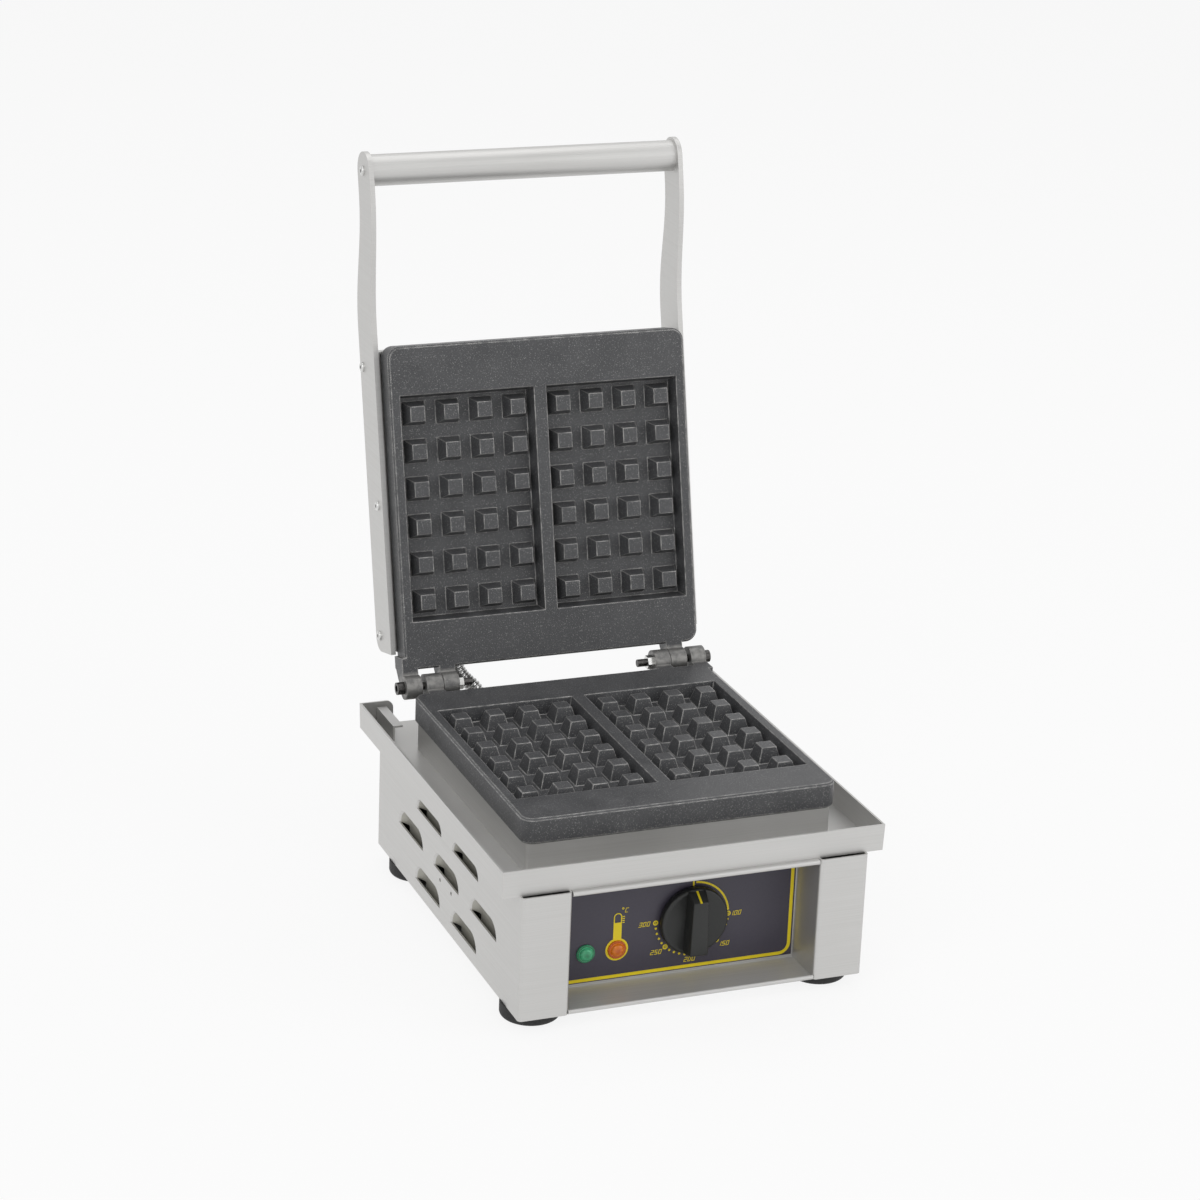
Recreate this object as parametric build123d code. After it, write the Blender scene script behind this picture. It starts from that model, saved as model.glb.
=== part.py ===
from build123d import *
import os
from math import cos, radians, sin, tan

# Countertop waffle iron with two hinged cast plates, shown open. Millimetres.
# While it is built, y is 0 at the front of the casing and z is 0 at the underside of the feet.

# Casing
body_width = 277.0
body_depth = 332.0
body_height = 98.9
foot_height = 12.0
sheet = 1.5
bend_radius = 3.0
post_inner_half = 99.0
recess_depth = 40.0
lip_height = 3.6

# Louvres pressed inward into both side walls
louvre_length = 60.0
louvre_pitch = 85.0
louvre_rows = [(11.0, 14.0), (41.0, 14.0), (71.0, 10.0)]
louvre_counts = [2, 3, 2]
louvre_depth = 6.0
louvre_wall = 1.2
side_hole_radius = 1.5
side_hole_spacing = 26.0
side_hole_height = 35.0

# Drip tray
tray_width = 305.0
tray_depth = 340.0
tray_setback = 4.0
tray_wall = 21.1
tray_flare = 1.5
tray_back_stub = 28.0
tray_corner = 6.0

# Cast plates, both from one pattern
plate_width = 252.0
plate_length = 257.0
plate_thick = 20.5
plate_front = 34.0
plate_corner = 10.0
plate_bevel = 1.5
plate_rise = 25.6
pocket_width = 112.5
pocket_length = 180.0
pocket_rib = 10.5
pocket_from_hinge = 38.0
pocket_depth = 12.0
wall_draft = 12.0
stud_columns = 4
stud_rows = 6
stud_top = 12.0
stud_draft = 16.0

# Hinge
parting_gap = 1.0
hinge_offset = 13.5
lug_radius = 9.5
tongue_inner = 98.0
tongue_width = 14.0
inner_lug = 13.0
inner_lug_gap = 0.5
outer_lug_gap = 3.7
outer_lug = 13.0
pin_radius = 3.0
pin_clearance = 0.05
pin_head_radius = 5.0
pin_head = 6.0
pin_socket = 3.0
nut_flats = 10.0
nut_thick = 5.0
pin_tail = 8.0
open_angle = 103.9

# Lid, handle and arms, measured from the hinge axis when the lid is closed
cover_half = 127.5
cover_from_hinge = 26.0
cover_short = 4.0
cover_rise = 51.0
arm_thick = 4.0
arm_gap = 1.0
arm_low = 16.0
arm_high = 53.0
arm_start = 25.0
arm_corner = 12.0
arm_bend_start = 285.0
arm_bend_end = 392.0
arm_end_radius = 15.0
handle_reach = 409.0
handle_rise = 15.0
tube_radius = 12.5
tube_wall = 1.5
plug_length = 12.0
arm_screws_at = [(38.0, 42.0), (144.0, 27.0), (254.0, 46.0)]
screw_head_radius = 4.0
screw_head = 2.2
screw_round = 1.32
screw_radius = 2.0
screw_length = 8.0

# Inside the plinths
plinth_inset = 3.5
heater_radius = 4.25
heater_leg = 190.0
heater_pitch = 44.0
heater_legs = 4
heater_bend = 19.8
seat_gap = 0.3
insulation = 8.0
bulb_radius = 3.0
bulb_length = 90.0

# Front panel
fascia_sheet = 1.5
decal_thick = 0.4
decal_margin = 1.0
dial_x = 13.8
dial_height = 45.2
knob_radius = 27.0
knob_skirt = 7.0
knob_grip = 17.0
knob_grip_width = 15.0
knob_grip_margin = 2.0
knob_taper = 6.0
knob_bevel = 2.1
knob_gap = 0.5
shaft_radius = 3.0
shaft_gap = 1.0
pointer_width = 2.0
pointer_length = 16.0
pointer_depth = 1.0
pointer_margin = 1.0
thermostat_size = 36.0
thermostat_depth = 28.0
bush_radius = 6.0
lamp_height = 27.8
green_x = -71.6
amber_x = -46.5
lamp_radius = 7.0
lamp_rim = 1.6
lamp_dome = 3.0
lamp_body_length = 26.0

# Feet, cable inlet and conduit
foot_radius = 23.0
foot_round = 3.6
foot_x = 117.0
foot_front = 33.0
foot_back = 37.0
gland_radius = 11.0
gland_tip_radius = 8.25
gland_neck_radius = 7.7
gland_inset = 53.5
gland_height = 30.0
gland_length = 18.0
gland_bore = 4.5
conduit_radius = 6.5
conduit_bore = 5.0
conduit_x = -74.0
conduit_rise = 36.0
conduit_foot = (-52.0, 332.0)
conduit_lead = 16.0
conduit_bend = 14.0
bush_height = 6.0
bush_wall = 2.0
strip_length = 42.0
strip_width = 8.0
strip_height = 16.0
strip_gap = 11.4475
strip_back = 4.0
terminal_width = 35.0
terminal_depth = 22.0
terminal_height = 18.0
terminal_back = 48.0
terminal_overhang = 5.0

# Worked out from the sizes above
body_low = foot_height
body_top = body_low + body_height
tray_floor = body_top
plate_low = tray_floor + plate_rise
plate_top = plate_low + plate_thick
plate_back = plate_front + plate_length
hinge_y = plate_back + hinge_offset
hinge_z = plate_top + parting_gap / 2
hinge_axis = Axis((0, hinge_y, hinge_z), (1, 0, 0))
handle_back = hinge_y - handle_reach * cos(radians(open_angle)) + handle_rise * sin(radians(open_angle))
reach_back = handle_back + arm_end_radius
fascia_front = recess_depth
arm_inner = cover_half + arm_gap
lamp_z = body_low + lamp_height
dial_z = body_low + dial_height

os.makedirs("parts", exist_ok=True)
nodes = {}


def opened(piece):
    # turns a lid piece from the closed to the open pose
    return piece.rotate(hinge_axis, -open_angle)


def lid_point(x, reach, rise):
    # a point of the closed lid, from its distance in front of the hinge and above the parting plane
    return (x, hinge_y - reach, hinge_z + rise)


def box_between(low, high):
    size = [high[i] - low[i] for i in range(3)]
    middle = [(high[i] + low[i]) / 2 for i in range(3)]
    return Pos(*middle) * Box(*size)


def facing_front(x, y, z):
    # local z points to the front, local y up
    return Pos(x, y, z) * Rot(90, 0, 0)


def along_x(radius, low, high, y, z):
    return Pos((low + high) / 2, y, z) * Rot(0, 90, 0) * Cylinder(radius, high - low)


# Side walls with front posts: one sheet each, folded along its plan
def capsule(radius, straight, offset):
    body = Pos(-offset, 0, 0) * Rot(90, 0, 0) * Cylinder(radius, straight)
    for end in (-1, 1):
        body += Pos(-offset, end * straight / 2, 0) * Sphere(radius)
    return body


def louvre(height):
    # cut tool and pressed scoop: local x points inward from the outer face, z 0 is the cut edge
    radius = (height ** 2 + louvre_depth ** 2) / (2 * louvre_depth)
    offset = radius - louvre_depth
    straight = louvre_length - 2 * height
    reach = 3 * radius
    above = box_between((-sheet, -louvre_length, 0), (reach, louvre_length, reach))
    inside = box_between((sheet / 2, -louvre_length, 0), (reach, louvre_length, reach))
    hollow = capsule(radius, straight, offset)
    shell = capsule(radius + louvre_wall, straight, offset) - hollow
    return hollow & above, shell & inside


def side_wall():
    middle = body_low + body_height / 2
    edge = body_width / 2 - sheet / 2
    plan = FilletPolyline(
        (-edge, body_depth, middle),
        (-edge, sheet / 2, middle),
        (-post_inner_half - sheet / 2, sheet / 2, middle),
        (-post_inner_half - sheet / 2, recess_depth, middle),
        radius=bend_radius - sheet / 2,
    )
    section = Plane(origin=plan @ 0, x_dir=(0, 0, 1), z_dir=plan % 0) * Rectangle(body_height, sheet)
    wall = sweep(section, path=plan)
    for (height, rise), count in zip(louvre_rows, louvre_counts):
        cut, scoop = louvre(rise)
        for k in range(count):
            y = body_depth / 2 + (k - (count - 1) / 2) * louvre_pitch
            place = Pos(-body_width / 2, y, body_low + height)
            wall = wall - place * cut + place * scoop
    for side in (-1, 1):
        y = body_depth / 2 + side * side_hole_spacing / 2
        hole = along_x(side_hole_radius, -body_width, 0, y, body_low + side_hole_height)
        wall -= hole & box_between((-body_width / 2 - 1, 0, 0), (-body_width / 2 + 2 * sheet, body_depth, body_top))
    return wall


left_wall = side_wall()
nodes["side_wall_left"] = left_wall
nodes["side_wall_right"] = mirror(left_wall, about=Plane.YZ)

# Bottom plate: a shallow pan between the walls with a rolled lip at the front
inner_half = body_width / 2 - sheet
pan = box_between((-inner_half, recess_depth, body_low), (inner_half, body_depth - sheet, body_low + sheet))
shelf = box_between((-post_inner_half, sheet, body_low), (post_inner_half, recess_depth, body_low + sheet))
lip = along_x(lip_height / 2, -post_inner_half, post_inner_half, lip_height / 2, body_low + lip_height / 2)
bottom_plate = pan + shelf + lip
for side in (-1, 1):
    ear_near = side * (post_inner_half + sheet)
    ear_far = side * inner_half
    ear_low = (min(ear_near, ear_far), sheet, body_low)
    bottom_plate += box_between(ear_low, (max(ear_near, ear_far), recess_depth, body_low + sheet))
for x in (-foot_x, foot_x):
    for y in (foot_front, body_depth - foot_back):
        bottom_plate -= Pos(x, y, body_low + sheet / 2) * Cylinder(screw_radius + seat_gap / 2, 4 * sheet)
nodes["bottom_plate"] = bottom_plate

# Rear panel with the hole for the cable gland
rear_panel = box_between((-inner_half, body_depth - sheet, body_low), (inner_half, body_depth, body_top))
gland_x = body_width / 2 - gland_inset
gland_z = body_low + gland_height
gland_hole = facing_front(gland_x, body_depth, gland_z) * Cylinder(gland_neck_radius, 6 * sheet)
nodes["rear_panel"] = rear_panel - gland_hole
gland_neck = facing_front(0, 0, 0) * Cylinder(gland_neck_radius, 6 * sheet)
gland_cap = Pos(0, gland_length / 2, 0) * Rot(90, 0, 0) * Cone(gland_tip_radius, gland_radius, gland_length)
gland = Pos(gland_x, body_depth, gland_z) * (gland_neck + gland_cap)
gland -= facing_front(gland_x, body_depth, gland_z) * Cylinder(gland_bore, 3 * gland_length)
nodes["cable_gland"] = gland

# Drip tray: flared walls, the rear one cut away between two stubs
half_top = tray_width / 2
half_low = half_top - tray_wall * tan(radians(tray_flare))
tray_y = tray_setback + tray_depth / 2
spread = half_top - half_low


def tray_block(inset, low, high):
    rise_low = spread * (high - low) / tray_wall
    bottom = Rectangle(2 * (half_top - inset - rise_low), tray_depth - 2 * (inset + rise_low))
    top = Rectangle(2 * (half_top - inset), tray_depth - 2 * inset)
    return loft([Pos(0, tray_y, low) * bottom, Pos(0, tray_y, high) * top])


tray_top = tray_floor + tray_wall
drip_tray = tray_block(0, tray_floor, tray_top)
drip_tray -= tray_block(sheet, tray_floor + sheet, tray_top)
tray_rear = tray_setback + tray_depth
gap_half = half_top - tray_back_stub
notch = box_between((-gap_half, tray_rear - 4 * sheet, tray_floor + sheet), (gap_half, tray_rear + sheet, tray_top + 1))
drip_tray -= notch
corner_edges = drip_tray.edges().filter_by(Axis.Y).group_by(Axis.Z)[-1]
stub_edges = [e for e in corner_edges if abs(abs(e.center().X) - gap_half) < 0.1]
drip_tray = fillet(stub_edges, tray_corner)
floor_hole = Pos(conduit_foot[0], conduit_foot[1], tray_floor) * Cylinder(conduit_bore, 4 * sheet)
nodes["drip_tray"] = drip_tray - floor_hole

# Plinth under the lower plate: a rectangular sleeve of sheet
plinth_y = (plate_front + plate_back) / 2
plinth_face = RectangleRounded(plate_width - 2 * plinth_inset, plate_length - 2 * plinth_inset, bend_radius)
plinth_bore = offset(plinth_face, amount=-sheet)
plinth_low = tray_floor + sheet
nodes["plinth"] = Pos(0, plinth_y, plinth_low) * extrude(plinth_face - plinth_bore, amount=plate_low - plinth_low)


# Cast plate, built as the lower one: pockets open upward, tongue on the left, fork on the right
def pocket_tool():
    mouth = Rectangle(pocket_width, pocket_length)
    tool = extrude(mouth, amount=-pocket_depth, taper=wall_draft)
    stud_base = stud_top + 2 * pocket_depth * tan(radians(stud_draft))
    pitch_x = pocket_width / stud_columns
    pitch_y = pocket_length / stud_rows
    studs = []
    for place in GridLocations(pitch_x, pitch_y, stud_columns, stud_rows):
        base = Pos(0, 0, -pocket_depth) * place * Rectangle(stud_base, stud_base)
        studs.append(extrude(base, amount=pocket_depth, taper=stud_draft))
    return tool - studs


def hinge_lug(low, high):
    # an ear that leaves the rear edge of the plate and ends round the hinge axis
    boss = along_x(lug_radius, low, high, hinge_y, hinge_z)
    root = box_between((low, plate_back - plate_corner, plate_low + 2), (high, plate_back, plate_top))
    foot = Plane.YZ * Polygon(
        (plate_back - 1, plate_low + 3),
        (hinge_y, hinge_z - lug_radius),
        (hinge_y, hinge_z),
        (plate_back - 1, plate_top),
        align=None,
    )
    return boss + root + Pos(low, 0, 0) * extrude(foot, amount=high - low)


def cast_plate():
    outline = RectangleRounded(plate_width, plate_length, plate_corner)
    block = Pos(0, plinth_y, plate_low) * extrude(outline, amount=plate_thick)
    block = chamfer(block.faces().sort_by(Axis.Z)[-1].outer_wire().edges(), plate_bevel)
    block = chamfer(block.faces().sort_by(Axis.Z)[0].outer_wire().edges(), plate_bevel)
    pocket_y = plate_back - pocket_from_hinge - pocket_length / 2
    tool = pocket_tool()
    for side in (-1, 1):
        block -= Pos(side * (pocket_rib + pocket_width) / 2, pocket_y, plate_top) * tool
    fork_inner_high = tongue_inner - inner_lug_gap
    fork_outer_low = tongue_inner + tongue_width + outer_lug_gap
    lugs = [
        (-tongue_inner - tongue_width, -tongue_inner),
        (fork_inner_high - inner_lug, fork_inner_high),
        (fork_outer_low, fork_outer_low + outer_lug),
    ]
    for low, high in lugs:
        block += hinge_lug(low, high)
    return block - along_x(pin_radius + pin_clearance, -plate_width, plate_width, hinge_y, hinge_z)


lower_plate = cast_plate()
nodes["lower_plate"] = lower_plate
turned = lower_plate.rotate(Axis((0, hinge_y, hinge_z), (0, 1, 0)), 180)
nodes["upper_plate"] = opened(turned)

# Hinge bolts and nuts: the heads outside, the nuts between the hinges
fork_face = tongue_inner + tongue_width + outer_lug_gap + outer_lug
nut_face = tongue_inner - inner_lug_gap - inner_lug
bolts = []
nuts = []
for side in (-1, 1):
    shank = along_x(pin_radius, nut_face - nut_thick - pin_tail, fork_face, hinge_y, hinge_z)
    head = along_x(pin_head_radius, fork_face, fork_face + pin_head, hinge_y, hinge_z)
    socket = Plane.YZ * Pos(hinge_y, hinge_z) * RegularPolygon(pin_socket, 6)
    head -= Pos(fork_face + pin_head / 2, 0, 0) * extrude(socket, amount=pin_head)
    hexagon = Plane.YZ * Pos(hinge_y, hinge_z) * RegularPolygon(nut_flats / 2, 6, major_radius=False)
    nut = Pos(nut_face - nut_thick, 0, 0) * extrude(hexagon, amount=nut_thick)
    nut -= along_x(pin_radius, 0, fork_face, hinge_y, hinge_z)
    bolt = shank + head
    bolts.append(bolt if side > 0 else mirror(bolt, about=Plane.YZ))
    nuts.append(nut if side > 0 else mirror(nut, about=Plane.YZ))
nodes["hinge_bolts"] = Compound(children=bolts)
nodes["hinge_nuts"] = Compound(children=nuts)


# Tubular heater bent to a W, and an insulation slab behind it
def heater(z):
    points = []
    for k in range(heater_legs):
        x = (k - (heater_legs - 1) / 2) * heater_pitch
        way = 1 if k % 2 == 0 else -1
        points += [(x, plinth_y - way * heater_leg / 2, z), (x, plinth_y + way * heater_leg / 2, z)]
    path = FilletPolyline(*points, radius=heater_bend)
    section = Plane(origin=path @ 0, z_dir=path % 0) * Circle(heater_radius)
    return sweep(section, path=path)


slab_half = plate_width / 2 - plinth_inset - sheet - seat_gap
slab_long = plate_length / 2 - plinth_inset - sheet - seat_gap
nodes["lower_heater"] = heater(plate_low - heater_radius - seat_gap)
slab_top = plate_low - 2 * heater_radius - 2 * seat_gap
slab = RectangleRounded(2 * slab_half, 2 * slab_long, bend_radius)
nodes["lower_insulation"] = Pos(0, plinth_y, slab_top - insulation) * extrude(slab, amount=insulation)
nodes["heat_shield"] = Pos(0, plinth_y, slab_top - insulation - sheet) * extrude(slab, amount=sheet)

# Lid cover: a pan over the back of the upper plate, its hinge end set forward of the hinge
upper_back = plate_thick + parting_gap / 2
cover_front = hinge_offset + plate_length - cover_short
cover_low = lid_point(-cover_half, cover_front, upper_back)
cover_high = lid_point(cover_half, cover_from_hinge, cover_rise)
cover = box_between(cover_low, cover_high)
cover = fillet(cover.edges().filter_by(Axis.Z), bend_radius)
cover = fillet(cover.faces().sort_by(Axis.Z)[-1].outer_wire().edges(), bend_radius)
room_low = lid_point(-cover_half + sheet, cover_front - sheet, upper_back - 1)
room_high = lid_point(cover_half - sheet, cover_from_hinge + sheet, cover_rise - sheet)
cover -= box_between(room_low, room_high)
bush_z = hinge_z + conduit_rise
cover_end = hinge_y - cover_from_hinge
cover -= facing_front(conduit_x, cover_end, bush_z) * Cylinder(conduit_bore, 4 * sheet)
nodes["lid_cover"] = opened(cover)
nodes["upper_heater"] = opened(heater(hinge_z + upper_back + heater_radius + seat_gap))
mat_low = hinge_z + upper_back + 2 * heater_radius + 2 * seat_gap
mat_half = cover_half - sheet - seat_gap
mat_front = hinge_y - cover_front + sheet + seat_gap
mat_back = cover_end - sheet - seat_gap
mat = box_between((-mat_half, mat_front, mat_low), (mat_half, mat_back, mat_low + insulation))
nodes["upper_insulation"] = opened(mat)


# Arms: flat bars on edge along the lid, drawn down in an S to the handle tube
def arm_profile():
    high_end = handle_rise + arm_end_radius
    low_end = handle_rise - arm_end_radius
    bottom = Line((arm_start, arm_low), (arm_bend_start, arm_low))
    dip = Spline((arm_bend_start, arm_low), (arm_bend_end, low_end), tangents=[(1, 0), (1, 0)])
    toe = Line((arm_bend_end, low_end), (handle_reach, low_end))
    tip = ThreePointArc((handle_reach, low_end), (handle_reach + arm_end_radius, handle_rise), (handle_reach, high_end))
    heel = Line((handle_reach, high_end), (arm_bend_end, high_end))
    rise = Spline((arm_bend_end, high_end), (arm_bend_start, arm_high), tangents=[(-1, 0), (-1, 0)])
    top = Line((arm_bend_start, arm_high), (arm_start + arm_corner, arm_high))
    middle = (arm_start + arm_corner * (1 - sin(radians(45))), arm_high - arm_corner * (1 - sin(radians(45))))
    corner = ThreePointArc((arm_start + arm_corner, arm_high), middle, (arm_start, arm_high - arm_corner))
    close = Line((arm_start, arm_high - arm_corner), (arm_start, arm_low))
    face = make_face(bottom + dip + toe + tip + heel + rise + top + corner + close)
    for reach, rise_at in arm_screws_at + [(handle_reach, handle_rise)]:
        face -= Pos(reach, rise_at) * Circle(screw_radius)
    return face


def arm(side):
    # the profile's x runs forward from the hinge, its y up from the parting plane
    lie = Plane(origin=(side * arm_inner, hinge_y, hinge_z), x_dir=(0, -1, 0), z_dir=(-1, 0, 0))
    outward = -arm_thick if side > 0 else arm_thick
    return extrude(lie * arm_profile(), amount=outward)


def side_screw(side, reach, rise_at, length):
    face = arm_inner + arm_thick
    y = hinge_y - reach
    z = hinge_z + rise_at
    head = along_x(screw_head_radius, face, face + screw_head, y, z)
    head = fillet(head.edges().sort_by(Axis.X)[-1], screw_round)
    screw = head + along_x(screw_radius, face - length, face, y, z)
    return screw if side > 0 else mirror(screw, about=Plane.YZ)


arm_screws = []
handle_screws = []
spacers = []
for side, name in ((-1, "left"), (1, "right")):
    nodes["handle_arm_" + name] = opened(arm(side))
    for reach, rise_at in arm_screws_at:
        arm_screws.append(opened(side_screw(side, reach, rise_at, screw_length)))
        ring = along_x(screw_head_radius, cover_half, arm_inner, hinge_y - reach, hinge_z + rise_at)
        ring -= along_x(screw_radius, cover_half, arm_inner, hinge_y - reach, hinge_z + rise_at)
        spacers.append(opened(ring if side > 0 else mirror(ring, about=Plane.YZ)))
    handle_screws.append(opened(side_screw(side, handle_reach, handle_rise, screw_length + arm_thick)))
nodes["arm_screws"] = Compound(children=arm_screws)
nodes["handle_screws"] = Compound(children=handle_screws)
nodes["arm_washers"] = Compound(children=spacers)

for side in (-1, 1):
    for reach, rise_at in arm_screws_at:
        hole = along_x(screw_radius, side * cover_half - 3 * sheet, side * cover_half + 3 * sheet,
                       hinge_y - reach, hinge_z + rise_at)
        nodes["lid_cover"] -= opened(hole)

grip_y = hinge_y - handle_reach
grip_z = hinge_z + handle_rise
tube = along_x(tube_radius, -arm_inner, arm_inner, grip_y, grip_z)
tube -= along_x(tube_radius - tube_wall, -arm_inner - 1, arm_inner + 1, grip_y, grip_z)
nodes["handle_tube"] = opened(tube)
plugs = []
for side in (-1, 1):
    plug = along_x(tube_radius - tube_wall, arm_inner - plug_length, arm_inner, grip_y, grip_z)
    plug -= along_x(screw_radius, arm_inner - plug_length, arm_inner, grip_y, grip_z)
    plugs.append(opened(plug if side > 0 else mirror(plug, about=Plane.YZ)))
nodes["handle_plugs"] = Compound(children=plugs)

# Front panel behind the posts, with its printed film
panel = box_between((-inner_half, fascia_front, body_low + sheet), (inner_half, fascia_front + fascia_sheet, body_top))
film_low = (-post_inner_half + decal_margin, fascia_front - decal_thick, body_low + lip_height)
film_high = (post_inner_half - decal_margin, fascia_front, body_top - decal_margin)
film = box_between(film_low, film_high)
holes = facing_front(dial_x, fascia_front, dial_z) * Cylinder(bush_radius, 6 * sheet)
for x in (green_x, amber_x):
    holes += facing_front(x, fascia_front, lamp_z) * Cylinder(lamp_radius - lamp_rim, 6 * sheet)
nodes["fascia_panel"] = panel - holes
nodes["fascia_film"] = film - holes

# Pilot lamps: a domed lens with a rim in front of the film and a body behind the panel
lamp_bodies = []
film_face = fascia_front - decal_thick
for name, x in (("green_lamp", green_x), ("amber_lamp", amber_x)):
    neck_depth = decal_thick + fascia_sheet
    lens = facing_front(x, film_face + neck_depth / 2, lamp_z) * Cylinder(lamp_radius - lamp_rim, neck_depth)
    cap_depth = lamp_rim + lamp_dome
    cap = facing_front(x, film_face - cap_depth / 2, lamp_z) * Cylinder(lamp_radius, cap_depth)
    cap = fillet(cap.edges().sort_by(Axis.Y)[0], lamp_dome)
    nodes[name] = lens + cap
    behind = fascia_front + fascia_sheet
    lamp_body = facing_front(x, behind + lamp_body_length / 2, lamp_z) * Cylinder(lamp_radius, lamp_body_length)
    lamp_bodies.append(lamp_body)
nodes["lamp_bodies"] = Compound(children=lamp_bodies)

# Thermostat: a box behind the panel with a bush for the knob's shaft
behind = fascia_front + fascia_sheet
case_low = (dial_x - thermostat_size / 2, behind, dial_z - thermostat_size / 2)
case_high = (dial_x + thermostat_size / 2, behind + thermostat_depth, dial_z + thermostat_size / 2)
case = box_between(case_low, case_high)
bush_depth = fascia_sheet + decal_thick
case += facing_front(dial_x, behind - bush_depth / 2, dial_z) * Cylinder(bush_radius, bush_depth)
shaft_bore = shaft_radius + pin_clearance
shaft_end = behind + thermostat_depth / 2 - shaft_gap
case -=facing_front(dial_x, behind, dial_z) * Cylinder(shaft_bore, thermostat_depth)
nodes["thermostat"] = case
bulb = Pos(heater_pitch, plinth_y, plate_low - bulb_radius - seat_gap) * Rot(90, 0, 0)
nodes["thermostat_bulb"] = bulb * Cylinder(bulb_radius, bulb_length)

# Knob: a skirted disc with a tapered grip bar across it
knob_back = film_face - knob_gap
local = Pos(0, 0, knob_skirt / 2) * Cylinder(knob_radius, knob_skirt)
local = chamfer(local.edges().sort_by(Axis.Z)[-1], knob_bevel)
grip_half = knob_radius - knob_grip_margin
grip_base = Pos(0, 0, knob_skirt) * Rectangle(knob_grip_width, 2 * grip_half)
local += extrude(grip_base, amount=knob_grip, taper=knob_taper)
crown_half = grip_half - knob_grip * tan(radians(knob_taper))
slot_y = crown_half - pointer_margin - pointer_length / 2
slot = Pos(0, slot_y, knob_skirt + knob_grip) * Box(pointer_width, pointer_length, pointer_depth)
shaft_hole = Cylinder(shaft_radius, 2 * knob_skirt)
nodes["knob"] = facing_front(dial_x, knob_back, dial_z) * (local - slot - shaft_hole)
nodes["knob_pointer"] = facing_front(dial_x, knob_back, dial_z) * slot
shaft_low = knob_back - knob_skirt
shaft_long = shaft_end - shaft_low
nodes["knob_shaft"] = facing_front(dial_x, shaft_low + shaft_long / 2, dial_z) * Cylinder(shaft_radius, shaft_long)

# Feet: low discs under the corners, each on its screw
feet = []
foot_screws = []
for x in (-foot_x, foot_x):
    for y in (foot_front, body_depth - foot_back):
        foot = Pos(x, y, foot_height / 2) * Cylinder(foot_radius, foot_height)
        foot = fillet(foot.edges().sort_by(Axis.Z)[0], foot_round)
        foot -= Pos(x, y, foot_height) * Cylinder(screw_radius, foot_height)
        feet.append(foot)
        screw = Pos(x, y, (foot_height / 2 + body_low + 2 * sheet) / 2)
        screw_long = body_low + 2 * sheet - foot_height / 2
        pin = screw * Cylinder(screw_radius, screw_long)
        cap_z = body_low + sheet + screw_head / 2
        foot_screws.append(pin + Pos(x, y, cap_z) * Cylinder(screw_head_radius, screw_head))
nodes["feet"] = Compound(children=feet)
nodes["foot_screws"] = Compound(children=foot_screws)

# Terminal block on the bottom plate
block_right = gland_x + terminal_overhang
block_low = (block_right - terminal_width, body_depth - terminal_back - terminal_depth, body_low + sheet)
block_high = (block_right, body_depth - terminal_back, body_low + sheet + terminal_height)
nodes["terminal_block"] = box_between(block_low, block_high)

# Short folded strips on the tray floor beside the rear corners of the plate
strips = []
for side in (-1, 1):
    x = side * (half_low - sheet - strip_gap - strip_width / 2)
    y_high = tray_rear - strip_back
    floor = tray_floor + sheet
    leg_low = (x - strip_width / 2, y_high - strip_length, floor)
    leg = box_between(leg_low, (x - strip_width / 2 + sheet, y_high, floor + strip_height))
    top_low = (x - strip_width / 2, y_high - strip_length, floor + strip_height - sheet)
    strip = leg + box_between(top_low, (x + strip_width / 2, y_high, floor + strip_height))
    strips.append(strip)
nodes["corner_strips"] = Compound(children=strips)


# Conduit from the lid to the base, with a bush at each end
def bush(outer):
    return Cylinder(outer, bush_height) - Cylinder(conduit_bore, 3 * bush_height)


lid_bush = Pos(conduit_x, cover_end + bush_height / 2, bush_z) * Rot(90, 0, 0) * bush(conduit_radius + bush_wall)
nodes["lid_bush"] = opened(lid_bush)
foot_x_at, foot_y_at = conduit_foot
bush_low = tray_floor + sheet
nodes["base_bush"] = Pos(foot_x_at, foot_y_at, bush_low + bush_height / 2) * bush(conduit_radius + bush_wall)
turn = radians(open_angle)
reach = cover_from_hinge - bush_height
start_y = hinge_y - reach * cos(turn) + conduit_rise * sin(turn)
start_z = hinge_z + reach * sin(turn) + conduit_rise * cos(turn)
route = [
    (conduit_x, start_y, start_z),
    (conduit_x, start_y + conduit_lead * cos(turn), start_z - conduit_lead * sin(turn)),
    (foot_x_at, foot_y_at, bush_low + bush_height + conduit_lead),
    (foot_x_at, foot_y_at, bush_low + bush_height),
]
path = FilletPolyline(*route, radius=conduit_bend)
hose_section = Plane(origin=path @ 0, z_dir=path % 0) * (Circle(conduit_radius) - Circle(conduit_bore))
nodes["flexible_conduit"] = sweep(hose_section, path=path)

for name, piece in nodes.items():
    placed = Pos(0, -reach_back / 2, 0) * piece
    export_step(placed, "parts/" + name + ".step")

shift = reach_back / 2
print("hinge axis y, z:", round(hinge_y - shift, 3), round(hinge_z, 3))
print("knob axis x, y, z:", dial_x, round(knob_back - shift, 3), round(dial_z, 3))
print("shift:", round(shift, 3), "conduit length:", round(path.length, 1))
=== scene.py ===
import math

import bmesh
import bpy
from mathutils import Matrix, Vector


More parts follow.
